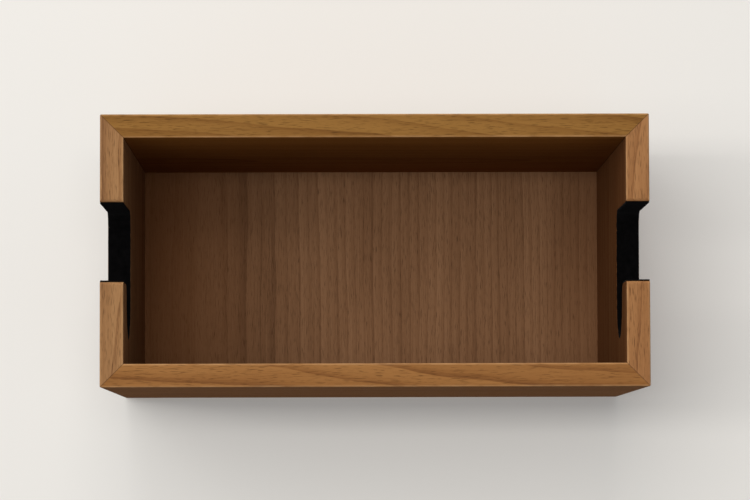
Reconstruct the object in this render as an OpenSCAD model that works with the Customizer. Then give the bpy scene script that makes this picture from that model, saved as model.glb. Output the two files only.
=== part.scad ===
// Wall mount with a shelf. A mitred wooden box hangs on a hidden bevelled rail, and each of its two side
// boards has a felt-lined J slot, open at the front.
// Directions: +X to the right, +Y into the wall, +Z up. The wall is the plane Y = 0.
// The origin is the middle of the rail's row of wall screws. All lengths are in millimetres.

/* [Box] */
// Width over the two side boards
box_w = 350; // [290:1:450]
// Height over the top and bottom boards
box_h = 174; // [165:1:230]
// Depth from the wall to the front edges
box_d = 300; // [240:1:360]
// Thickness of the four boards
board_t = 15; // [13:0.5:20]
// Radius of the eased front and corner edges
edge_r = 1; // [0.5:0.1:2]

/* [Slots] */
// Height of the lip's top above the underside of the box
lip_top_h = 67; // [60:0.5:75]
// Height of the slot's mouth, from the lip's top to the upper jaw
mouth_h = 51; // [40:0.5:56]
// Depth of the slot, from the front edge to its rear wall
slot_d = 90; // [80:1:110]
// Width of the pocket behind the lip, and diameter of its round bottom
pocket_w = 50; // [44:0.5:56]
// Depth of the pocket below the lip's top
pocket_h = 34.5; // [32:0.5:40]
// Radius of the slot's upper rear corner
slot_corner_r = 12; // [6:0.5:16]
// Radius of the lip's inner corner
lip_r = 9; // [3:0.5:9]
// Radius of the slot's two corners at the front edge
jaw_r = 2; // [1:0.5:4]

/* [Felt lining] */
// Thickness of the felt
felt_t = 1.2; // [0.8:0.1:3]

/* [Back panel] */
// Thickness of the back panel
panel_t = 6; // [4:0.5:9]
// Depth of the space between the wall and the back panel
recess_d = 15; // [13:0.5:25]
// Depth of the groove that holds the panel's edges
groove_d = 5; // [3:0.5:6]
// Gap at the panel's edges, where the wood may swell
panel_gap = 0.3; // [0.1:0.1:1]

/* [Corner tongues] */
// Thickness of a tongue
tongue_t = 4; // [3:0.5:5]
// Width of a tongue across the mitre
tongue_w = 13; // [8:0.5:14]
// Distance of the tongue's middle from the box's corner, across the board
tongue_in = 9; // [7.5:0.5:10]
// Length of uncut wood in front of a tongue
tongue_front = 12; // [6:1:30]
// Length of uncut wood between a tongue and the back panel
tongue_rear = 3; // [2:1:30]
// Room for glue at each edge of a tongue
glue_gap = 0.2; // [0.1:0.1:0.5]

/* [Hanging cleat and wall rail] */
// Height of the hanging cleat's front face
cleat_h = 36.5; // [30:0.5:45]
// Height of the wall rail's front face, up to the bevel's plane
rail_h = 50; // [40:0.5:60]
// Gap between the wall rail's end and a side board
rail_side_gap = 10; // [2:1:40]
// Running gap between rail and panel, and between cleat and wall
hang_gap = 0.5; // [0.3:0.1:1]
// Width of the flats that blunt the two bevelled edges
bevel_flat = 1.5; // [0.5:0.1:3]

/* [Wall screws] */
// Distance between the two wall screws
screw_spacing = 200; // [120:5:230]
// Height of the wall screws above the rail's lower edge
screw_row_h = 18; // [12:1:25]
// Clearance hole for a wall screw
screw_hole_d = 5.5; // [4:0.1:7]
// Diameter of the countersink for a wall screw's head
screw_head_d = 11; // [9:0.5:14]

/* [Dowels] */
// Diameter of a dowel
dowel_d = 6; // [5:0.5:8]
// Length of a dowel
dowel_l = 30; // [24:1:40]
// Length of a dowel inside the side board
dowel_in_board = 10; // [6:0.5:11]
// Distance between the two dowels at one end
dowel_spacing = 18; // [12:1:22]
// Chamfer at a dowel's ends
dowel_chamfer = 0.8; // [0.4:0.1:1.2]

/* [Hidden] */
$fn = 64;

// Signs that pick a side or a corner
LEFT = -1;
RIGHT = 1;
TOP = 1;
BOTTOM = -1;

// How far a cutter runs past the face that it opens
over = 2;
// How far a corner's outline overlaps the outline that it joins
lap = 0.5;

// Inside of the box
inner_w = box_w - 2 * board_t;
inner_h = box_h - 2 * board_t;
ceiling_h = box_h - board_t;

// Slot, measured back from the front edge and up from the underside of the box
lip_d = slot_d - pocket_w;
jaw_h = lip_top_h + mouth_h;
cradle_r = pocket_w / 2;
cradle_d = slot_d - cradle_r;
cradle_h = lip_top_h - pocket_h + cradle_r;
// The lip's rounding ends where the pocket's round bottom starts
lip_round = min(lip_r, pocket_h - cradle_r);

// Cleat and rail: the bevel's plane rises 1 mm for each 1 mm away from the wall
rail_t = recess_d - hang_gap;
cleat_foot_h = ceiling_h - cleat_h;
rail_top_h = cleat_foot_h - hang_gap;
rail_foot_h = rail_top_h - rail_h;
rail_w = inner_w - 2 * rail_side_gap;

// Height of the wall screws above the underside of the box, where the origin lies
origin_h = rail_foot_h + screw_row_h;

walnut = [0.44, 0.26, 0.14];
panel_walnut = [0.36, 0.22, 0.13];
felt_black = [0.06, 0.06, 0.06];
birch = [0.80, 0.68, 0.50];
beech = [0.78, 0.58, 0.40];

// Extrudes an outline drawn in X and Z along Y, between two depths
module along_y(y_from, y_to) {
    translate([0, y_to, 0]) rotate([90, 0, 0]) linear_extrude(y_to - y_from) children();
}

// Extrudes an outline drawn in Y and Z along X, between two places
module along_x(x_from, x_to) {
    translate([x_from, 0, 0]) rotate([90, 0, 90]) linear_extrude(x_to - x_from) children();
}

// What is drawn with the underside of the box at height 0 is set to the origin at the wall screws
module from_base() {
    translate([0, 0, -origin_h]) children();
}

// Boards

// Cross-section of a board, with its front edges eased: depth along X, thickness along Y
module board_section() {
    translate([edge_r, 0]) square([box_d - edge_r, board_t]);
    translate([0, edge_r]) square([2 * edge_r, board_t - 2 * edge_r]);
    for (v = [edge_r, board_t - edge_r]) translate([edge_r, v]) circle(edge_r);
}

// The half of the mitred frame that a horizontal board fills, seen from the front
module mitre_wedge() {
    tip_x = box_w / 2 + over;
    root_x = inner_w / 2 - over;
    polygon([
        [-tip_x, box_h + over], [tip_x, box_h + over],
        [root_x, ceiling_h - over], [-root_x, ceiling_h - over],
    ]);
}

// The same for an upright board on the right
module upright_wedge() {
    tip_x = box_w / 2 + over;
    root_x = inner_w / 2 - over;
    polygon([
        [tip_x, -over], [tip_x, box_h + over],
        [root_x, ceiling_h - over], [root_x, board_t + over],
    ]);
}

// What easing takes off the long edge of one corner of the box, seen from the front
module corner_easing(side, level) {
    corner_z = level == TOP ? box_h : 0;
    arc_x = side * (box_w / 2 - edge_r);
    arc_z = corner_z - level * edge_r;
    difference() {
        translate([arc_x, arc_z]) mirror([side == LEFT ? 1 : 0, 0]) mirror([0, level == BOTTOM ? 1 : 0])
            square(edge_r + over);
        translate([arc_x, arc_z]) circle(edge_r);
    }
}

// The space that the back panel takes up, with a gap at its edges
module panel_space(gap) {
    reach_w = inner_w + 2 * groove_d - 2 * gap;
    reach_h = inner_h + 2 * groove_d - 2 * gap;
    translate([-reach_w / 2, -recess_d - panel_t, board_t - groove_d + gap])
        cube([reach_w, panel_t, reach_h]);
}

// A tongue across the mitre of one corner, or its groove when there is room for glue
module tongue_shape(side, level, room) {
    corner_z = level == TOP ? box_h : 0;
    y_front = -box_d + tongue_front - room;
    y_rear = -recess_d - panel_t - tongue_rear + room;
    along_y(y_front, y_rear)
        translate([side * (box_w / 2 - tongue_in), corner_z - level * tongue_in])
            rotate(-45 * side * level) square([tongue_w + 2 * room, tongue_t], center = true);
}

// Everything that is cut from the boards at the corners and for the back panel
module joinery(side, level) {
    along_y(-box_d - over, over) corner_easing(side, level);
    tongue_shape(side, level, glue_gap);
}

module top_board_shape() {
    difference() {
        intersection() {
            translate([0, -box_d, ceiling_h]) along_x(-box_w / 2, box_w / 2) board_section();
            along_y(-box_d - over, over) mitre_wedge();
        }
        panel_space(0);
        joinery(LEFT, TOP);
        joinery(RIGHT, TOP);
    }
}

// The bottom board is the top board turned over about the middle of the box
module bottom_board_shape() {
    translate([0, 0, box_h]) mirror([0, 0, 1]) top_board_shape();
}

// Slot of a side board, with depth from the front edge along X and height along Y.
// The inset moves every wall of the slot inwards by the same amount, so the felt keeps one thickness.
module slot_outline(inset) {
    corner_r = slot_corner_r - inset;
    rear = slot_d - inset;
    ceiling = jaw_h - inset;
    front = -over;
    // mouth, up to the round corner
    translate([front, lip_top_h + inset]) square([rear - corner_r - front, mouth_h - 2 * inset]);
    translate([rear - 2 * corner_r, lip_top_h + inset])
        square([2 * corner_r, mouth_h - 2 * inset - corner_r]);
    translate([rear - corner_r, ceiling - corner_r]) circle(corner_r);
    // pocket, with its round bottom
    translate([lip_d + inset, cradle_h]) square([pocket_w - 2 * inset, lip_top_h + mouth_h / 2 - cradle_h]);
    translate([cradle_d, cradle_h]) circle(cradle_r - inset);
    // rounded inner corner of the lip
    round_over(lip_d, lip_top_h, LEFT, lip_round, inset);
}

// Rounds an outside corner of the wood at a point: what lies outside the arc joins the slot.
// The wood lies below the corner, on the side that is named.
module round_over(at_d, at_h, wood_side, r, inset) {
    reach = r + inset;
    difference() {
        translate([at_d + wood_side * r, at_h - r])
            mirror([wood_side == LEFT ? 0 : 1, 0]) square(reach + lap);
        translate([at_d + wood_side * r, at_h - r]) circle(reach);
    }
}

// Side board on the right. Grain runs upright, and the slot goes right through it.
module side_board_shape() {
    difference() {
        intersection() {
            translate([box_w / 2, -box_d, 0]) rotate(90) linear_extrude(box_h) board_section();
            along_y(-box_d - over, over) upright_wedge();
        }
        translate([0, -box_d, 0]) along_x(inner_w / 2 - over, box_w / 2 + over) {
            slot_outline(0);
            slot_front_easing();
        }
        panel_space(0);
        joinery(RIGHT, TOP);
        joinery(RIGHT, BOTTOM);
        dowel_set(glue_gap);
    }
}

// Eases the slot's two corners at the front edge
module slot_front_easing() {
    round_over(0, lip_top_h, RIGHT, jaw_r, 0);
    translate([0, 2 * jaw_h]) mirror([0, 1]) round_over(0, jaw_h, RIGHT, jaw_r, 0);
}

module top_board() { color(walnut) from_base() top_board_shape(); }
module bottom_board() { color(walnut) from_base() bottom_board_shape(); }
module right_side_board() { color(walnut) from_base() side_board_shape(); }
module left_side_board() { color(walnut) from_base() mirror([1, 0, 0]) side_board_shape(); }
module back_panel() { color(panel_walnut) from_base() panel_space(panel_gap); }

// Felt

// One strip lies on the jaw, the rear wall, the round bottom and the lip
module slot_felt_shape() {
    translate([0, -box_d, 0]) along_x(inner_w / 2, box_w / 2) {
        difference() {
            intersection() {
                slot_outline(0);
                translate([jaw_r, 0]) square([slot_d, box_h]);
            }
            slot_outline(felt_t);
        }
    }
}

module right_slot_felt() { color(felt_black) from_base() slot_felt_shape(); }
module left_slot_felt() { color(felt_black) from_base() mirror([1, 0, 0]) slot_felt_shape(); }

// Corner tongues
module corner_tongue(side, level) { color(birch) from_base() tongue_shape(side, level, 0); }
module top_left_tongue() { corner_tongue(LEFT, TOP); }
module top_right_tongue() { corner_tongue(RIGHT, TOP); }
module bottom_left_tongue() { corner_tongue(LEFT, BOTTOM); }
module bottom_right_tongue() { corner_tongue(RIGHT, BOTTOM); }

// Hanging parts

// Dowels at the right end of the hanging cleat, or their holes when there is room for glue at the ends
module dowel_set(room) {
    y_mid = -(recess_d + hang_gap) / 2;
    x_end = inner_w / 2 + dowel_in_board;
    x_start = x_end - dowel_l;
    for (k = [-1, 1]) {
        translate([x_start - room, y_mid, cleat_foot_h + cleat_h / 2 + k * dowel_spacing / 2])
            rotate([0, 90, 0]) dowel(dowel_l + 2 * room, room > 0 ? 0 : dowel_chamfer);
    }
}

// A dowel that stands on its end, with chamfered ends
module dowel(l, chamfer) {
    r = dowel_d / 2;
    translate([0, 0, chamfer]) cylinder(h = l - 2 * chamfer, r = r);
    if (chamfer > 0) {
        cylinder(h = chamfer, r1 = r - chamfer, r2 = r);
        translate([0, 0, l - chamfer]) cylinder(h = chamfer, r1 = r, r2 = r - chamfer);
    }
}

module cleat_dowels() {
    color(beech) from_base() {
        dowel_set(0);
        mirror([1, 0, 0]) dowel_set(0);
    }
}

// Batten on the box. Its bevel hooks over the wall rail, with the long edge next to the wall.
module hanging_cleat() {
    tip_h = cleat_foot_h - (rail_t - bevel_flat);
    color(birch) from_base() difference() {
        along_x(-inner_w / 2, inner_w / 2) polygon([
            [-recess_d, cleat_foot_h], [-recess_d, ceiling_h], [-hang_gap, ceiling_h],
            [-hang_gap, tip_h], [-hang_gap - bevel_flat, tip_h],
        ]);
        dowel_set(glue_gap);
        mirror([1, 0, 0]) dowel_set(glue_gap);
    }
}

// Batten on the wall, with two countersunk holes. Its long edge stands away from the wall.
module wall_rail() {
    color(birch) from_base() difference() {
        along_x(-rail_w / 2, rail_w / 2) polygon([
            [0, rail_foot_h], [0, rail_top_h - rail_t],
            [-rail_t + bevel_flat, rail_top_h - bevel_flat], [-rail_t, rail_top_h - bevel_flat],
            [-rail_t, rail_foot_h],
        ]);
        for (k = [-1, 1]) translate([k * screw_spacing / 2, 0, origin_h]) screw_hole();
    }
}

// Clearance hole from the wall outwards, with a 90 degree countersink at the front
module screw_hole() {
    sink_l = (screw_head_d - screw_hole_d) / 2;
    rotate([90, 0, 0]) {
        translate([0, 0, -over]) cylinder(h = rail_t + 2 * over, d = screw_hole_d);
        translate([0, 0, rail_t - sink_l])
            cylinder(h = sink_l + over, d1 = screw_hole_d, d2 = screw_head_d + 2 * over);
    }
}

top_board();
bottom_board();
left_side_board();
right_side_board();
back_panel();
left_slot_felt();
right_slot_felt();
top_left_tongue();
top_right_tongue();
bottom_left_tongue();
bottom_right_tongue();
hanging_cleat();
cleat_dowels();
wall_rail();
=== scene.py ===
# %% [markdown]
# # A wooden wall mount with felt-lined slots
# The mount is a mitred box of oiled walnut with two felt-lined slots, hung on a hidden bevelled rail.
# The joinery comes from the CAD frame, at its true size. This lesson dresses it: a camera and a plain
# studio first, then wood that is coloured through and through, then the felt as a modelled piece.

# %% Load the frame
import math

import bmesh
import bpy
from mathutils import Matrix, Quaternion, Vector, noise


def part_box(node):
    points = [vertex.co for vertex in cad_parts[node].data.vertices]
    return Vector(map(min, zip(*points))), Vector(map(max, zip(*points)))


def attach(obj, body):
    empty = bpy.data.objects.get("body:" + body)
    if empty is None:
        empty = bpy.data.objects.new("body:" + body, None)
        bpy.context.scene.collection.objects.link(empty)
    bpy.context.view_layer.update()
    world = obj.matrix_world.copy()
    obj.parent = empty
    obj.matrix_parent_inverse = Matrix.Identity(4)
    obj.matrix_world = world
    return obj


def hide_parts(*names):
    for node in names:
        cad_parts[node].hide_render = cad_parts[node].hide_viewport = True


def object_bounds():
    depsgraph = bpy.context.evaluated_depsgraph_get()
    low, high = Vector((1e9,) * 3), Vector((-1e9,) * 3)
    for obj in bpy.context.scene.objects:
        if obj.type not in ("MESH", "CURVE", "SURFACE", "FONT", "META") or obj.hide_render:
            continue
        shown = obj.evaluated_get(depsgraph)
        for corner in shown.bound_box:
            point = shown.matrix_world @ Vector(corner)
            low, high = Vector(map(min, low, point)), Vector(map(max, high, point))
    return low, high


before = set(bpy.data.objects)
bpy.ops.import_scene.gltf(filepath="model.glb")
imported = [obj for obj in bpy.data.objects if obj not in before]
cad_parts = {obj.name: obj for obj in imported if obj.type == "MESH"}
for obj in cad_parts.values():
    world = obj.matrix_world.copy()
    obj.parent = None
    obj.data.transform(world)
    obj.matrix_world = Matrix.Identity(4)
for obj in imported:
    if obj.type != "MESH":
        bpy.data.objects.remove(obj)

scene = bpy.context.scene
scene.view_settings.view_transform = "Standard"
cad_low, cad_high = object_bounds()
cad_size = [round(high - low, 4) for low, high in zip(cad_low, cad_high)]
print("frame:", len(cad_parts), "nodes, size", cad_size)

# %% [markdown]
# ## The camera
# A camera could be placed by eye, but the photograph fixes it. The back panel shows smaller than the
# front opening, which gives the distance, and the undersides of the boards show a little, so the lens
# is below the box. The camera keeps that place and a long lens fills the frame from there, because
# cropping and zooming don't change perspective, while walking closer does. The right end of the box
# stands a hair higher than the left one in the photograph, so the camera leans by as much.

# %% Camera
CAMERA_AHEAD = 2.46
CAMERA_LEFT = 0.024
CAMERA_BELOW = 0.148
CAMERA_LEAN = math.radians(0.16)
LENS = 186.0

top_low, top_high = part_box("top_board")
front_y, top_z = top_low.y, top_high.z
base_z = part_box("bottom_board")[0].z
face_mid = Vector((0.0, front_y, (base_z + top_z) / 2))
eye = face_mid + Vector((-CAMERA_LEFT, -CAMERA_AHEAD, -CAMERA_BELOW))
aim = (face_mid - eye).to_track_quat("-Z", "Y")
lean = Quaternion((0.0, 0.0, 1.0), -CAMERA_LEAN)
camera = bpy.data.objects.new("camera", bpy.data.cameras.new("camera"))
scene.collection.objects.link(camera)
camera.location = eye
camera.rotation_euler = (aim @ lean).to_euler()
camera.data.lens = LENS
scene.camera = camera
print("camera at", [round(c, 3) for c in eye], "lens", LENS, "mm")

# %% [markdown]
# ## Small helpers for shader nodes
# Node trees can be clicked together or written down. Written down, the same three lines come back for
# every node, so one helper makes a node, sets it and wires it. The others keep arithmetic short, so
# that a recipe further down reads like a sum.

# %% Node helpers
# A Mix node keeps sockets for every kind of data side by side. These are the places of the colour ones.
MIX_SHARE, MIX_FIRST, MIX_SECOND, MIX_RESULT = 0, 6, 7, 2


def add_node(tree, kind, inputs=None, **settings):
    """Makes a node. Each input is wired if it is given a socket, and otherwise set."""
    made = tree.nodes.new(kind)
    for name, value in settings.items():
        setattr(made, name, value)
    for key, value in (inputs or {}).items():
        if isinstance(value, bpy.types.NodeSocket):
            tree.links.new(value, made.inputs[key])
        else:
            made.inputs[key].default_value = value
    return made


def calc(tree, operation, first, second=0.0, clamp=False):
    made = add_node(tree, "ShaderNodeMath", {0: first, 1: second}, operation=operation, use_clamp=clamp)
    return made.outputs[0]


def times(tree, first, second):
    return calc(tree, "MULTIPLY", first, second)


def total(tree, *parts, clamp=False):
    """Adds the parts up one by one. Clamp keeps the result between 0 and 1."""
    so_far = parts[0]
    for part in parts[1:-1]:
        so_far = calc(tree, "ADD", so_far, part)
    return calc(tree, "ADD", so_far, parts[-1], clamp)


def remap(tree, value, low, high, to_low=0.0, to_high=1.0, smooth=False):
    made = add_node(
        tree, "ShaderNodeMapRange",
        {"Value": value, "From Min": low, "From Max": high, "To Min": to_low, "To Max": to_high},
        interpolation_type="SMOOTHSTEP" if smooth else "LINEAR",
    )
    return made.outputs["Result"]


def mix_colour(tree, share, first, second):
    inputs = {MIX_SHARE: share, MIX_FIRST: first, MIX_SECOND: second}
    return add_node(tree, "ShaderNodeMix", inputs, data_type="RGBA").outputs[MIX_RESULT]


def vector_calc(tree, operation, *values):
    made = add_node(tree, "ShaderNodeVectorMath", dict(enumerate(values)), operation=operation)
    return made.outputs["Value" if operation == "LENGTH" else "Vector"]


def split(tree, vector):
    """The X, Y and Z of a vector."""
    return add_node(tree, "ShaderNodeSeparateXYZ", {0: vector}).outputs


print("node helpers ready")

# %% [markdown]
# ## Colours and materials
# A shader reckons in linear light, while a colour that is picked on screen is not linear. One helper
# turns the second into the first, so the colours below can be compared with what a picture shows. The
# others tint a set of colours, start an empty material and put a shader on it.

# %% Colour and material helpers
def srgb(red, green, blue):
    """A colour as picked on screen, from 0 to 255, in the linear numbers that shaders use."""
    parts = [c / 255 for c in (red, green, blue)]
    return [c / 12.92 if c <= 0.04045 else ((c + 0.055) / 1.055) ** 2.4 for c in parts] + [1.0]


def tinted(tones, share):
    """The same tones with each of red, green and blue turned up or down."""
    return [[c * part for c, part in zip(tone, share)] + [1.0] for tone in tones]


def new_material(name):
    material = bpy.data.materials.new(name)
    material.use_nodes = True
    tree = material.node_tree
    tree.nodes.clear()
    output = add_node(tree, "ShaderNodeOutputMaterial")
    return material, tree, output


def coat(tree, output, inputs):
    """Puts a principled shader with these inputs on the material."""
    shader = add_node(tree, "ShaderNodeBsdfPrincipled", inputs)
    tree.links.new(shader.outputs[0], output.inputs["Surface"])


print("a middle grey of 128 is", round(srgb(128, 128, 128)[0], 3), "in linear light")

# %% [markdown]
# ## A wall and a floor that hide from behind
# The mount hangs on a wall, so a pale wall carries its shadow, with a pale floor below. A plain wall
# would stand in the way of every view from the back. Both planes are therefore clear from behind, and
# to the rays that carry light, and solid only where they are seen from the room. Their paint is a
# light grey with a faint glow, so they look pale where little light falls and still keep the shadow.
# A little of the glow reaches the undersides of the wood, as it would in a pale room.

# %% Stage
FLOOR_DROP = 1.05
STAGE_SIZE = 14.0
WALL_GAP = 0.001
WALL_GLOW = 0.15
FLOOR_GLOW = 0.5
GLOW_COLOUR = (1.0, 0.995, 0.985, 1.0)
PAINT_SHINE = 0.2


def stage_paint(name, colour, roughness, glow):
    material, tree, output = new_material(name)
    paint = add_node(
        tree, "ShaderNodeBsdfPrincipled",
        {"Base Color": colour, "Roughness": roughness, "Specular IOR Level": PAINT_SHINE,
         "Emission Color": GLOW_COLOUR, "Emission Strength": glow},
    )
    clear = add_node(tree, "ShaderNodeBsdfTransparent")
    behind = add_node(tree, "ShaderNodeNewGeometry").outputs["Backfacing"]
    rays = add_node(tree, "ShaderNodeLightPath").outputs
    carries_light = calc(tree, "MAXIMUM", rays["Is Shadow Ray"], rays["Is Diffuse Ray"])
    gone = calc(tree, "MAXIMUM", behind, carries_light)
    shown = add_node(tree, "ShaderNodeMixShader", {0: gone, 1: paint.outputs[0], 2: clear.outputs[0]})
    tree.links.new(shown.outputs[0], output.inputs["Surface"])
    return material


def stage_plane(name, place, turn, material):
    bm = bmesh.new()
    bmesh.ops.create_grid(bm, x_segments=1, y_segments=1, size=STAGE_SIZE / 2)
    bmesh.ops.rotate(bm, verts=bm.verts, cent=(0, 0, 0), matrix=Matrix.Rotation(turn, 3, "X"))
    bmesh.ops.translate(bm, verts=bm.verts, vec=place)
    mesh = bpy.data.meshes.new(name)
    bm.to_mesh(mesh)
    bm.free()
    mesh.materials.append(material)
    plane = bpy.data.objects.new(name, mesh)
    scene.collection.objects.link(plane)


wall_paint = stage_paint("wall_paint", srgb(208, 207, 204), 0.9, WALL_GLOW)
floor_paint = stage_paint("floor_paint", srgb(196, 194, 190), 0.8, FLOOR_GLOW)
stage_plane("wall", (0, WALL_GAP, STAGE_SIZE / 2 - FLOOR_DROP), math.pi / 2, wall_paint)
stage_plane("floor", (0, WALL_GAP - STAGE_SIZE / 2, -FLOOR_DROP), 0.0, floor_paint)
print("stage: wall at y =", WALL_GAP, "floor at z =", -FLOOR_DROP)

# %% [markdown]
# ## Soft light from the front
# In the photograph the left end of the inside is in shadow, the underside of the top board is nearly
# black, and the panel at the back still gets half of the front's light, even close under the top. So
# the main light is wide and stands almost behind the lens, a little to the left and above. A low band
# of light beside it, level with the box, reaches the top of the panel. A lamp overhead lights the top
# board, which the others only graze, and one behind the wall serves the views from the back. A dim
# world fills the shadows, and looks white to the camera and in reflections.

# %% Lamps
KEY_COLOUR = (1.0, 0.97, 0.93)


def area_lamp(name, place, target, width, height, watts, colour):
    lamp = bpy.data.lights.new(name, "AREA")
    lamp.shape = "RECTANGLE"
    lamp.size, lamp.size_y = width, height
    lamp.energy = watts
    lamp.color = colour
    holder = bpy.data.objects.new(name, lamp)
    scene.collection.objects.link(holder)
    holder.location = place
    holder.rotation_euler = (Vector(target) - Vector(place)).to_track_quat("-Z", "Y").to_euler()


area_lamp(
    "key_lamp", place=(-0.65, -3.1, 0.4), target=face_mid,
    width=1.9, height=1.5, watts=49.0, colour=KEY_COLOUR,
)
area_lamp(
    "level_lamp", place=(-0.65, -3.1, 0.06), target=face_mid,
    width=1.9, height=0.2, watts=29.0, colour=KEY_COLOUR,
)
area_lamp(
    "top_lamp", place=(-0.25, -0.55, 2.3), target=(0.0, -0.15, 0.08),
    width=1.3, height=0.8, watts=34.0, colour=(1.0, 0.98, 0.95),
)
area_lamp(
    "back_lamp", place=(1.3, 2.4, 1.4), target=face_mid,
    width=1.6, height=1.2, watts=60.0, colour=(1.0, 0.99, 0.97),
)

# %% World
WORLD_DIM = 0.26

world = bpy.data.worlds.new("studio")
scene.world = world
world.use_nodes = True
tree = world.node_tree
tree.nodes.clear()
rays = add_node(tree, "ShaderNodeLightPath").outputs
seen = calc(tree, "MAXIMUM", rays["Is Camera Ray"], rays["Is Transmission Ray"])
seen = calc(tree, "MAXIMUM", seen, rays["Is Glossy Ray"])
strength = remap(tree, seen, 0.0, 1.0, WORLD_DIM, 1.0)
sky = add_node(tree, "ShaderNodeBackground", {"Color": (1.0, 1.0, 1.0, 1.0), "Strength": strength})
add_node(tree, "ShaderNodeOutputWorld", {"Surface": sky.outputs[0]})
print("world lights the shadows at", WORLD_DIM)

# %% [markdown]
# ## Wood that goes through and through
# Real boards show the same growth rings on every face, cut at different angles. A picture wrapped on
# each face would break at the edges, so the rings are made in space: cylinders around a pith that lies
# below the plank, bent a little by noise. Each board turns the same plank to its own place, as a joiner
# folds one long board round the corners, and the grain runs on over the mitres.

# %% Plank space
NOISE_LOW, NOISE_HIGH = 0.3, 0.7


def plank_space(tree, turn, shift):
    """Object coordinates turned so that X runs along the grain, Y across the plank and Z up to its face."""
    here = add_node(tree, "ShaderNodeTexCoord").outputs["Object"]
    turned = add_node(
        tree, "ShaderNodeMapping", {"Vector": here, "Rotation": turn, "Location": shift}
    )
    return turned.outputs["Vector"]


def stretched_noise(tree, plank, scales, detail=3.0, roughness=0.55, shift=0.0):
    """Noise drawn out along the grain: the scales are features per metre along, across and through.
    Each layer has a shift of its own, so that no two layers show the same pattern."""
    squeezed = vector_calc(tree, "MULTIPLY_ADD", plank, scales, (shift, shift, shift))
    made = add_node(
        tree, "ShaderNodeTexNoise",
        {"Vector": squeezed, "Scale": 1.0, "Detail": detail, "Roughness": roughness},
    )
    return made.outputs["Fac"]


def spread(tree, value, low, high):
    """Noise seldom leaves the middle of its range, so the middle is laid out from low to high."""
    return remap(tree, value, NOISE_LOW, NOISE_HIGH, low, high)


print("plank space ready")

# %% [markdown]
# ## Where the rings run
# A trunk's rings are neither straight nor round. A slow noise bends them, a quick one ripples them, and
# a plank that is sawn at a slant to the pith shows rings that grow wider apart from end to end, which
# draws the pointed arches of a flat-sawn face.

# %% Ring distance
PITH_DEPTH = 0.085
PITH_ACROSS = -0.12
BEND = dict(scales=(2.6, 9.0, 9.0), detail=2.0, shift=3.1)
RIPPLE = dict(scales=(14.0, 30.0, 30.0), detail=2.0, shift=7.7)
RIPPLE_REACH = 0.0012


def ring_distance(tree, plank, wander, taper):
    """Distance from the pith, in metres. The bends reach as far as wander, and taper is the slant."""
    from_pith = vector_calc(tree, "SUBTRACT", plank, (0.0, PITH_ACROSS, -PITH_DEPTH))
    straight = vector_calc(tree, "LENGTH", vector_calc(tree, "MULTIPLY", from_pith, (0.0, 1.0, 1.0)))
    slant = times(tree, split(tree, plank)["X"], taper)
    bends = stretched_noise(tree, plank, **BEND)
    ripples = stretched_noise(tree, plank, **RIPPLE)
    return total(
        tree, straight, slant,
        remap(tree, bends, 0.0, 1.0, -wander, wander),
        remap(tree, ripples, 0.0, 1.0, -RIPPLE_REACH, RIPPLE_REACH),
    )


print("pith", PITH_DEPTH, "m under the face and", -PITH_ACROSS, "m to the side")

# %% [markdown]
# ## What a plank's face is made of
# Under oil, walnut shows four things at once: growth rings that fade in and end in a dark line, broad
# colour streaks, fine fibres, and pores like short pencil dashes. They are built one by one and then
# laid over each other, so each can be turned up or down for another wood.

# %% Rings, pores and relief
RING_RISE = 3.0
RING_END = 0.93


def growth_rings(tree, distance, spacing):
    """How dark the late wood is, from 0 to 1, and a tone of its own for each ring."""
    count = calc(tree, "DIVIDE", distance, spacing)
    through = calc(tree, "FRACT", count)
    rise = calc(tree, "POWER", through, RING_RISE)
    fall = remap(tree, through, RING_END, 1.0, 1.0, 0.0, smooth=True)
    own = add_node(
        tree, "ShaderNodeTexWhiteNoise", {"W": calc(tree, "FLOOR", count)}, noise_dimensions="1D"
    ).outputs["Value"]
    return times(tree, rise, fall), own


def pore_dashes(tree, plank, scales, start, full):
    """Short dark dashes along the grain where fine stretched noise peaks."""
    peaks = stretched_noise(tree, plank, scales, detail=1.0, roughness=0.4, shift=11.3)
    return remap(tree, peaks, start, full, smooth=True)


def relief(tree, height, strength, reach):
    """The surface's normal, tilted as if the height stood up by the reach, in metres."""
    bump = add_node(
        tree, "ShaderNodeBump", {"Height": height, "Strength": strength, "Distance": reach}
    )
    return bump.outputs["Normal"]


print("grain layers ready")

# %% [markdown]
# ## Faces, edges and the joint line
# A joiner buffs the faces that are seen and touched. The others stay matt, and their colour is painted
# deeper there as painted shade, inside the box and under it. An eased edge wears a little paler, and
# where two boards meet in a mitre the glue leaves a hair-thin dark line. All of this depends on where a
# point lies in its board, so it is measured in plank space: from the outer face, from the front edge and
# from the sloping end.

# %% Distances in the board
FACE_REACH = 0.0006
WEAR_REACH = 0.0016
WEAR_PATCHES = dict(scales=(60.0, 60.0, 60.0), detail=2.0, shift=5.0)
WORN_FROM, WORN_TO, WORN_LEAST = 0.35, 0.6, 0.35
GLUE_WIDTH = 0.00045


def near(tree, distance, reach):
    """1 at no distance, fading to 0 at the reach."""
    return remap(tree, distance, 0.0, reach, 1.0, 0.0, smooth=True)


def face_at(tree, plank, depth):
    """1 on the face that lies this deep below the outer face of the plank."""
    off_face = calc(tree, "ADD", split(tree, plank)["Z"], depth)
    return near(tree, calc(tree, "ABSOLUTE", off_face), FACE_REACH)


def matt_faces(tree, plank, depths):
    """1 on each of the faces that lie this deep below the outer one."""
    matt = 0.0
    for depth in depths:
        matt = calc(tree, "MAXIMUM", matt, face_at(tree, plank, depth))
    return matt


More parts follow.
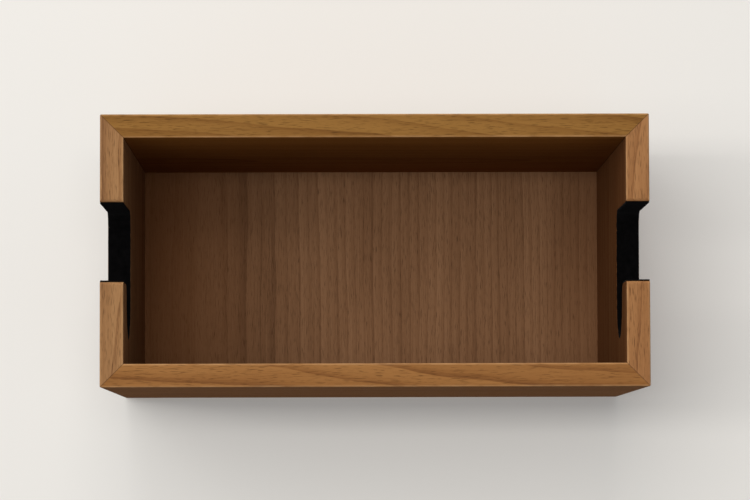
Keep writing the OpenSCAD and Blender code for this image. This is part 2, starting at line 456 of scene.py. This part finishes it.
def edge_wear(tree, plank, front, thickness):
    """1 on the two front edges of a board, in patches."""
    place = split(tree, plank)
    from_front = calc(tree, "SUBTRACT", place["Y"], front)
    from_outside = calc(tree, "ABSOLUTE", place["Z"])
    from_inside = calc(tree, "ABSOLUTE", calc(tree, "ADD", place["Z"], thickness))
    at_face = near(tree, calc(tree, "MINIMUM", from_outside, from_inside), WEAR_REACH)
    edge = times(tree, near(tree, from_front, WEAR_REACH), at_face)
    patches = stretched_noise(tree, plank, **WEAR_PATCHES)
    return times(tree, edge, remap(tree, patches, WORN_FROM, WORN_TO, WORN_LEAST, 1.0))


def mitre_line(tree, plank, middle, half_length):
    """1 along the sloping ends of a board whose outer face has this middle and half length."""
    place = split(tree, plank)
    from_middle = calc(tree, "ABSOLUTE", calc(tree, "SUBTRACT", place["X"], middle))
    end_here = calc(tree, "ADD", place["Z"], half_length)
    return near(tree, calc(tree, "SUBTRACT", end_here, from_middle), GLUE_WIDTH)


print("wear reaches", WEAR_REACH * 1000, "mm and the glue line", GLUE_WIDTH * 1000, "mm")

# %% [markdown]
# ## Oiled walnut: how dark it is
# Rings, streaks, fibres and clouds each add to one number, from 0 for the palest wood to 1 for the
# darkest. Rings and streaks together make the figure, and contrast turns it up or down around its
# mean, so a calmer board doesn't get paler. Mixing colours layer by layer would work too, but one
# number is easier to balance.

# %% Walnut depth
STREAKS = dict(scales=(1.6, 55.0, 55.0), detail=4.0, roughness=0.62, shift=1.7)
FIBRES = dict(scales=(16.0, 900.0, 900.0), detail=3.0, roughness=0.65)
CLOUDS = dict(scales=(3.0, 12.0, 12.0), detail=2.0, shift=21.0)
LATE_DEPTH = 0.50
RING_DEPTHS = (-0.10, 0.16)
STREAK_DEPTHS = (-0.10, 0.42)
FIBRE_DEPTHS = (-0.10, 0.14)
CLOUD_LIFT = 0.03
MEAN_FIGURE = 0.30


def walnut_depth(tree, plank, late, own, fibres, contrast, mottle):
    """How dark the wood is, from 0 to 1. Mottle is how much the clouds change it."""
    streaks = stretched_noise(tree, plank, **STREAKS)
    clouds = stretched_noise(tree, plank, **CLOUDS)
    figure = total(
        tree, times(tree, late, LATE_DEPTH),
        remap(tree, own, 0.0, 1.0, *RING_DEPTHS),
        spread(tree, streaks, *STREAK_DEPTHS),
    )
    off_mean = calc(tree, "SUBTRACT", figure, MEAN_FIGURE)
    return total(
        tree, times(tree, off_mean, contrast), MEAN_FIGURE,
        spread(tree, fibres, *FIBRE_DEPTHS),
        spread(tree, clouds, -mottle, mottle + CLOUD_LIFT),
        clamp=True,
    )


print("walnut depth ready, mean figure", MEAN_FIGURE)

# %% [markdown]
# ## Oiled walnut: colour and sheen
# The depth runs through three tones, then the pores and the marks of each board go on top. The surface
# is close to matt. Fibres and pores take the light a little differently, and the relief is only about
# a tenth of a millimetre, because a planed and oiled board is nearly smooth.

# %% Walnut recipe
WALNUT_TONES = (srgb(152, 109, 64), srgb(132, 90, 50), srgb(90, 55, 31))
PALE_TO_MIDDLE = (0.0, 0.5)
MIDDLE_TO_DARK = (0.45, 1.0)
PORES = dict(scales=(150.0, 3000.0, 3000.0), start=0.58, full=0.70)
PORE_SHARE = 0.55
PORE_DARKNESS = 0.5
SATIN = (0.70, 0.80)
PORE_MATT = 0.15
UNBUFFED_MATT = 0.22
WALNUT_SHINE = 0.06
FIBRE_HEIGHT, PORE_HEIGHT, LATE_HEIGHT = 0.5, -0.9, 0.25
WALNUT_RELIEF = dict(strength=0.35, reach=0.00012)


def walnut_colour(tree, depth, pores, tones):
    pale, middle, dark = tones
    pore_tone = [PORE_DARKNESS * c for c in dark[:3]] + [1.0]
    colour = mix_colour(tree, remap(tree, depth, *PALE_TO_MIDDLE), pale, middle)
    colour = mix_colour(tree, remap(tree, depth, *MIDDLE_TO_DARK), colour, dark)
    return mix_colour(tree, times(tree, pores, PORE_SHARE), colour, pore_tone)


def walnut(
    name, turn, shift, tones, spacing=0.0042, wander=0.010, taper=0.035, contrast=1.0, mottle=0.08,
    unbuffed=(), marks=(),
):
    """Unbuffed lists how deep the matt faces lie. Marks are functions of the tree and the plank
    that give (share, colour) for painted shade on matt faces and in corners, worn edges or glue lines."""
    material, tree, output = new_material(name)
    plank = plank_space(tree, turn, shift)
    late, own = growth_rings(tree, ring_distance(tree, plank, wander, taper), spacing)
    fibres = stretched_noise(tree, plank, **FIBRES)
    pores = pore_dashes(tree, plank, **PORES)

    depth = walnut_depth(tree, plank, late, own, fibres, contrast, mottle)
    colour = walnut_colour(tree, depth, pores, tones)
    for mark in marks:
        share, tint = mark(tree, plank)
        colour = mix_colour(tree, share, colour, tint)

    roughness = total(
        tree, spread(tree, fibres, *SATIN), times(tree, pores, PORE_MATT),
        times(tree, matt_faces(tree, plank, unbuffed), UNBUFFED_MATT), clamp=True,
    )
    height = total(
        tree, times(tree, fibres, FIBRE_HEIGHT), times(tree, pores, PORE_HEIGHT),
        times(tree, late, LATE_HEIGHT),
    )
    coat(tree, output, {
        "Base Color": colour, "Roughness": roughness, "Specular IOR Level": WALNUT_SHINE,
        "Normal": relief(tree, height, **WALNUT_RELIEF),
    })
    return material


print("walnut recipe ready,", len(WALNUT_TONES), "tones")

# %% [markdown]
# ## How each board took the oil, and its painted shade
# Oil never takes quite the same on every board. In the photograph the two sides are a little paler and
# pinker than the top and bottom, so each board gets a tint of its own. Its unbuffed faces, inside the
# box and under it, are painted deeper in colour as painted shade: an orange brown under the top, and
# the darkest on the right.

# %% Board finishes
board_t = top_high.z - top_low.z
WORN_TONE, WORN_SHARE = srgb(190, 148, 104), 0.65
GLUE_TONE, GLUE_SHARE = srgb(52, 30, 18), 0.75
# for each board its tint, then the painted shade tone of its unbuffed faces and how far they go towards it
FINISHES = {
    "top_board": ((0.78, 0.78, 0.58), srgb(136, 70, 2), 0.40),
    "right_side_board": ((1.08, 1.08, 1.29), srgb(80, 38, 4), 0.65),
    "bottom_board": ((0.95, 0.90, 0.84), srgb(80, 38, 18), 0.32),
    "left_side_board": ((1.06, 1.18, 1.54), srgb(98, 34, 4), 0.12),
}


def board_marks(middle, half_length, unbuffed, shade_tone, shade_share):
    """Painted shade on the matt faces, then worn edges and glue lines, for one board."""
    # painted shade: the matt faces inside the box and under it are darkened towards the shade tone
    def painted_shade(tree, plank):
        return times(tree, matt_faces(tree, plank, unbuffed), shade_share), shade_tone

    def worn(tree, plank):
        return times(tree, edge_wear(tree, plank, front_y, board_t), WORN_SHARE), WORN_TONE

    def glued(tree, plank):
        return times(tree, mitre_line(tree, plank, middle, half_length), GLUE_SHARE), GLUE_TONE

    return painted_shade, worn, glued


print("finishes for", list(FINISHES), "and boards of", round(board_t, 4), "m")

# %% [markdown]
# ## One plank, folded round the box
# Each board is the same plank turned a quarter further about the depth axis. The shift makes the length
# along the grain run on: across the top, down the right side, back along the bottom and up the left.
# Only the upper left corner can't match, where the last board meets the first.

# %% Boards
box_h = top_z - base_z
half_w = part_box("right_side_board")[1].x


def set_material(node, material):
    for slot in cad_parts[node].material_slots:
        slot.material = material


# node, then in the turned plank where the board starts, where its outer face lies and its length,
# and how deep below that face its unbuffed ones lie, which also carry the painted shade
folds = (
    ("top_board", -half_w, top_z, 2 * half_w, (board_t,)),
    ("right_side_board", -top_z, half_w, box_h, (board_t,)),
    ("bottom_board", -half_w, -base_z, 2 * half_w, (board_t, 0.0)),
    ("left_side_board", base_z, half_w, box_h, (board_t,)),
)
start = -half_w
for corner, (node, first, outside, length, unbuffed) in enumerate(folds):
    tint, shade_tone, shade_share = FINISHES[node]
    board_walnut = walnut(
        node + "_walnut", turn=(0.0, -corner * math.pi / 2, 0.0), shift=(start - first, 0.0, -outside),
        tones=tinted(WALNUT_TONES, tint), unbuffed=unbuffed,
        marks=board_marks(start + length / 2, length / 2, unbuffed, shade_tone, shade_share),
    )
    set_material(node, board_walnut)
    start += length
print("boards dressed from a plank of", round(start + half_w, 3), "m")

# %% [markdown]
# ## The back panel
# The panel's grain stands upright, in fine even streaks, as on a quarter-cut board. It is walnut too,
# darker than the boards, with wider, nearly straight rings and less contrast, turned so that the
# plank's length points up and its face looks out of the box. Towards the two sides its front is painted
# deeper and redder, as painted shade where the side boards shade the corners.

# %% Panel
PANEL_TONES = (srgb(138, 102, 73), srgb(117, 83, 57), srgb(87, 59, 39))
panel_low, panel_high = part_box("back_panel")
inner_half = half_w - board_t


def painted_corner_shade(side, reach, share, tone):
    """A mark of painted shade that deepens the panel's front beside the left (-1) or right (1) side of the
    box.
    """
    def shade(tree, plank):
        across = split(tree, plank)["Y"]
        from_side = calc(tree, "SUBTRACT", inner_half, times(tree, across, side))
        on_front = times(tree, face_at(tree, plank, -panel_low.y), share)
        return times(tree, near(tree, from_side, reach), on_front), tone

    return shade


# painted shade in the panel's corners, deeper and wider beside the left side
left_shade = painted_corner_shade(-1, reach=0.095, share=0.6, tone=srgb(116, 69, 34))
right_shade = painted_corner_shade(1, reach=0.050, share=0.5, tone=srgb(92, 58, 34))
panel_walnut = walnut(
    "back_panel_walnut", turn=(math.pi / 2, 0.0, math.pi / 2), shift=(0.4, 0.0, 0.0),
    tones=PANEL_TONES, spacing=0.0055, wander=0.006, taper=0.012, contrast=0.62, mottle=0.22,
    marks=(left_shade, right_shade),
)
set_material("back_panel", panel_walnut)
print("panel dressed:", [round(high - low, 4) for low, high in zip(panel_low, panel_high)])

# %% [markdown]
# ## The felt linings
# Each slot is lined with one strip of pressed wool felt, glued round the J from the upper jaw over the
# lip. It could be cut out of a block, but a strip that is bent round a path is how the real one gets its
# shape: a small rounded section is pushed along the straights and spun round each bend.

# %% Felt section
FELT_T = 0.0012
FELT_ROUND = 0.0004
FELT_STEP = 0.0009


def felt_section(bm, x_from, x_to, y, z_top):
    """A rounded outline across the board, hanging below the upper jaw. Gives its edges."""
    bmesh.ops.create_grid(bm, x_segments=1, y_segments=1, size=0.5)
    width = x_to - x_from
    bmesh.ops.scale(bm, verts=bm.verts, vec=(width, FELT_T, 1.0))
    bmesh.ops.bevel(
        bm, geom=bm.verts, affect="VERTICES", offset=FELT_ROUND, segments=3, profile=0.5, material=-1
    )
    long_edges = [e for e in bm.edges if e.calc_length() > width / 2]
    bmesh.ops.subdivide_edges(bm, edges=long_edges, cuts=round(width / FELT_STEP))
    rungs = [e for e in bm.edges if not e.is_boundary]
    bmesh.ops.dissolve_edges(bm, edges=rungs, use_verts=False)
    bmesh.ops.rotate(bm, verts=bm.verts, cent=(0, 0, 0), matrix=Matrix.Rotation(math.pi / 2, 3, "X"))
    bmesh.ops.translate(bm, verts=bm.verts, vec=((x_from + x_to) / 2, y, z_top - FELT_T / 2))
    bmesh.ops.delete(bm, geom=list(bm.faces), context="FACES_ONLY")
    return list(bm.edges)


print("felt", FELT_T * 1000, "mm thick, in steps of", FELT_STEP * 1000, "mm")

# %% Push and bend
def push(bm, edges, way):
    """Carries the section along a straight, in even steps."""
    steps = max(1, round(way.length / FELT_STEP))
    for _ in range(steps):
        made = bmesh.ops.extrude_edge_only(bm, edges=edges)["geom"]
        edges = [g for g in made if isinstance(g, bmesh.types.BMEdge)]
        moved = [g for g in made if isinstance(g, bmesh.types.BMVert)]
        bmesh.ops.translate(bm, verts=moved, vec=way / steps)
    return edges


def bend(bm, edges, y, z, radius, angle):
    """Spins the section round a centre in the side view."""
    steps = max(2, round(abs(angle) * radius / FELT_STEP))
    verts = list(dict.fromkeys(v for e in edges for v in e.verts))
    made = bmesh.ops.spin(
        bm, geom=verts + edges, cent=(0, y, z), axis=(1, 0, 0), angle=angle, steps=steps,
        use_merge=False, use_duplicate=False,
    )["geom_last"]
    return [g for g in made if isinstance(g, bmesh.types.BMEdge)]


def sort_faces(bm):
    """Puts the faces in the order of their vertices. Extrude and spin leave them in a chance order,
    and every run should give the same file."""
    bm.verts.index_update()
    count = len(bm.verts)
    bm.faces.sort(key=lambda f: count * min(v.index for v in f.verts) + max(v.index for v in f.verts))


print("push and bend ready")

# %% [markdown]
# ## The way round the J
# Seen from the side, the strip runs in along the jaw, down the rear wall, round the bottom of the
# pocket, up behind the lip and forward over it. The lining's box in the frame gives the ends of that
# path, and the radii of the felt's faces give the bends. The length that the strip is cut to is worked
# out from the same straights and bends, along the middle of the felt.

# %% Bend a strip round the J
CORNER_R = 0.012
POCKET_R = 0.025
LIP_R = 0.009
MOUTH_H = 0.051


def felt_strip(node):
    low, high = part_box(node)
    bm = bmesh.new()
    corner_y, corner_z = high.y - CORNER_R, high.z - CORNER_R
    pocket_y, pocket_z = high.y - POCKET_R, low.z + POCKET_R
    lip_y, lip_z = high.y - 2 * POCKET_R - LIP_R, high.z - MOUTH_H - LIP_R
    edges = felt_section(bm, low.x, high.x, low.y, high.z)
    edges = push(bm, edges, Vector((0, corner_y - low.y, 0)))
    edges = bend(bm, edges, corner_y, corner_z, CORNER_R, -math.pi / 2)
    edges = push(bm, edges, Vector((0, 0, pocket_z - corner_z)))
    edges = bend(bm, edges, pocket_y, pocket_z, POCKET_R, -math.pi)
    edges = push(bm, edges, Vector((0, 0, lip_z - pocket_z)))
    edges = bend(bm, edges, lip_y, lip_z, LIP_R + FELT_T, math.pi / 2)
    edges = push(bm, edges, Vector((0, low.y - lip_y, 0)))
    ends = [e for e in bm.edges if e.is_boundary]
    bmesh.ops.holes_fill(bm, edges=ends, sides=0)
    bmesh.ops.recalc_face_normals(bm, faces=bm.faces)
    sort_faces(bm)
    return bm


def strip_length(node):
    """Length of the strip along its middle, from the straights and the bends."""
    low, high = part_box(node)
    half_t = FELT_T / 2
    jaw = high.y - CORNER_R - low.y
    rear = (high.z - CORNER_R) - (low.z + POCKET_R)
    rise = (high.z - MOUTH_H - LIP_R) - (low.z + POCKET_R)
    lip = (high.y - 2 * POCKET_R - LIP_R) - low.y
    bends = math.pi / 2 * (CORNER_R - half_t) + math.pi * (POCKET_R - half_t)
    bends += math.pi / 2 * (LIP_R + half_t)
    return jaw + rear + rise + lip + bends


print("strip length:", round(strip_length("left_slot_felt"), 4))

# %% [markdown]
# ## Wool that isn't quite flat
# Pressed felt has a slightly lumpy face and soft edges. A bump map alone would leave a hard outline, so
# the vertices themselves move a little along their normals, by smooth noise. The noise is a fixed
# function of the place, so the felt comes out the same on every run.

# %% Lumps
LUMP = 0.00016
LUMP_SCALE = 420.0
LUMP_SINK = 0.7


def roughen(bm):
    """Moves each vertex along its normal, inwards more than out, so that the wool keeps off the wood."""
    bm.normal_update()
    moves = {v: v.normal * LUMP * (noise.noise(v.co * LUMP_SCALE) - LUMP_SINK) for v in bm.verts}
    for v, move in moves.items():
        v.co += move


print("lumps up to", round(LUMP * (1 + LUMP_SINK) * 1000, 2), "mm deep")

# %% [markdown]
# ## Black wool
# Black felt isn't one black. Single hairs catch light that the gaps between them swallow, over tufts
# that are a little paler or darker. So two noises of different scale share out two near blacks and the
# relief. There is no shine at all, and a trace of sheen stands for the fuzz.

# %% Felt material
HAIRS = {"Scale": 1500.0, "Detail": 4.0, "Roughness": 0.7, "Distortion": 1.8}
TUFTS = {"Scale": 260.0, "Detail": 3.0, "Roughness": 0.6}
HAIR_SHARE, TUFT_SHARE = 0.6, 0.4
WOOL_TONES = (srgb(2, 2, 2), srgb(11, 10, 11))
PILE_RANGE = (0.36, 0.64)
WOOL_RELIEF = dict(strength=0.8, reach=0.0004)


def felt_material():
    material, tree, output = new_material("wool_felt")
    here = add_node(tree, "ShaderNodeTexCoord").outputs["Object"]
    hairs = add_node(tree, "ShaderNodeTexNoise", {"Vector": here, **HAIRS}).outputs["Fac"]
    tufts = add_node(tree, "ShaderNodeTexNoise", {"Vector": here, **TUFTS}).outputs["Fac"]
    pile = total(tree, times(tree, hairs, HAIR_SHARE), times(tree, tufts, TUFT_SHARE))
    coat(tree, output, {
        "Base Color": mix_colour(tree, remap(tree, pile, *PILE_RANGE), *WOOL_TONES),
        "Roughness": 0.95, "Specular IOR Level": 0.0, "Sheen Weight": 0.03,
        "Sheen Roughness": 0.6, "Sheen Tint": (0.6, 0.6, 0.62, 1.0),
        "Normal": relief(tree, pile, **WOOL_RELIEF),
    })
    return material


wool = felt_material()
print("felt material:", wool.name)

# %% Lay the strips in the slots
for side in ("left", "right"):
    node = side + "_slot_felt"
    bm = felt_strip(node)
    roughen(bm)
    mesh = bpy.data.meshes.new(side + "_felt_strip")
    bm.to_mesh(mesh)
    bm.free()
    mesh.materials.append(wool)
    mesh.shade_smooth()
    strip = bpy.data.objects.new(side + "_felt_strip", mesh)
    scene.collection.objects.link(strip)
    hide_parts(node)
    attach(strip, "hanging_box")
    strip_length(node)
    print(strip.name, len(mesh.polygons), "faces")

# %% [markdown]
# ## Birch and beech
# Behind the panel hang two birch battens, hooked together by their bevels, and beech dowels hold the
# upper one in the sides. They get the same care in a plainer recipe: birch has faint rings and hardly a
# pore, and beech is pinker with short flecks. They could share the walnut recipe, but that would need
# its streaks, clouds and marks turned off one by one.

# %% Pale woods
PALE_FIBRES = dict(scales=(14.0, 700.0, 700.0), detail=3.0, roughness=0.6)
PALE_RINGS = dict(wander=0.008, taper=0.02)
PALE_SPACING = 0.0036
PALE_LATE = 0.65
PALE_RING_DEPTHS = (-0.15, 0.30)
PALE_FIBRE_DEPTHS = (-0.15, 0.35)
PALE_SATIN = (0.58, 0.72)
PALE_SHINE = 0.35
PALE_RELIEF = dict(strength=0.3, reach=0.00015)
FLECK_PEAKS = dict(start=0.62, full=0.72)


def pale_wood(name, shift, tones, fleck_scales, fleck_share):
    material, tree, output = new_material(name)
    plank = plank_space(tree, (0.0, 0.0, 0.0), shift)
    late, own = growth_rings(tree, ring_distance(tree, plank, **PALE_RINGS), PALE_SPACING)
    fibres = stretched_noise(tree, plank, **PALE_FIBRES)
    flecks = pore_dashes(tree, plank, fleck_scales, **FLECK_PEAKS)
    pale, deep, fleck = tones
    depth = total(
        tree, times(tree, late, PALE_LATE), remap(tree, own, 0.0, 1.0, *PALE_RING_DEPTHS),
        spread(tree, fibres, *PALE_FIBRE_DEPTHS), clamp=True,
    )
    colour = mix_colour(tree, depth, pale, deep)
    coat(tree, output, {
        "Base Color": mix_colour(tree, times(tree, flecks, fleck_share), colour, fleck),
        "Roughness": spread(tree, fibres, *PALE_SATIN), "Specular IOR Level": PALE_SHINE,
        "Normal": relief(tree, fibres, **PALE_RELIEF),
    })
    return material


print("pale wood recipe ready, rings", PALE_SPACING * 1000, "mm apart")

# %% Battens and dowels
BIRCH_TONES = (srgb(219, 192, 150), srgb(196, 162, 116), srgb(150, 112, 74))
BEECH_TONES = (srgb(210, 166, 124), srgb(186, 136, 94), srgb(132, 84, 52))
RAIL_TONES = tinted(BIRCH_TONES, (0.90, 0.81, 0.70))
BIRCH_FLECKS = dict(fleck_scales=(180.0, 2200.0, 2200.0), fleck_share=0.35)
BEECH_FLECKS = dict(fleck_scales=(420.0, 1500.0, 1500.0), fleck_share=0.6)

cleat_birch = pale_wood("hanging_cleat_birch", (0.3, 0, 0), BIRCH_TONES, **BIRCH_FLECKS)
rail_birch = pale_wood("wall_rail_birch", (0.9, 0.05, 0), RAIL_TONES, **BIRCH_FLECKS)
dowel_beech = pale_wood("dowel_beech", (0.1, 0, 0), BEECH_TONES, **BEECH_FLECKS)
set_material("hanging_cleat", cleat_birch)
set_material("wall_rail", rail_birch)
set_material("cleat_dowels", dowel_beech)
print("dressed: hanging_cleat, wall_rail and cleat_dowels")

# %% [markdown]
# ## Plywood tongues
# Inside each corner lies a plywood tongue, across the mitre. Plywood shows its plies on the edge, pale
# and dark in turn. Its layers run with the tongue, so each tongue's plank space leans by 45 degrees,
# as the tongue does.

# %% Plywood
PLY = 0.0008
PLY_DEPTH = 0.5
PLY_FIBRES = dict(scales=(20.0, 600.0, 600.0), detail=3.0)
PLY_FIBRE_DEPTHS = (0.0, 0.4)
PLY_SATIN = (0.6, 0.75)
PLY_TONES = (srgb(214, 186, 142), srgb(166, 128, 86))


def plywood(name, lean):
    material, tree, output = new_material(name)
    plank = plank_space(tree, (0.0, lean, 0.0), (0.0, 0.0, 0.0))
    layer = calc(tree, "FLOOR", calc(tree, "DIVIDE", split(tree, plank)["Z"], PLY))
    crossed = calc(tree, "ABSOLUTE", calc(tree, "MODULO", layer, 2.0))
    fibres = stretched_noise(tree, plank, **PLY_FIBRES)
    depth = total(tree, times(tree, crossed, PLY_DEPTH), spread(tree, fibres, *PLY_FIBRE_DEPTHS))
    coat(tree, output, {
        "Base Color": mix_colour(tree, depth, *PLY_TONES),
        "Roughness": spread(tree, fibres, *PLY_SATIN),
        "Normal": relief(tree, fibres, **PALE_RELIEF),
    })
    return material


for side, turn in (("left", -1), ("right", 1)):
    for level, flip in (("top", 1), ("bottom", -1)):
        lean = turn * flip * math.pi / 4
        set_material(f"{level}_{side}_tongue", plywood(f"{level}_{side}_plywood", lean))
print("tongues dressed in plies of", PLY * 1000, "mm")
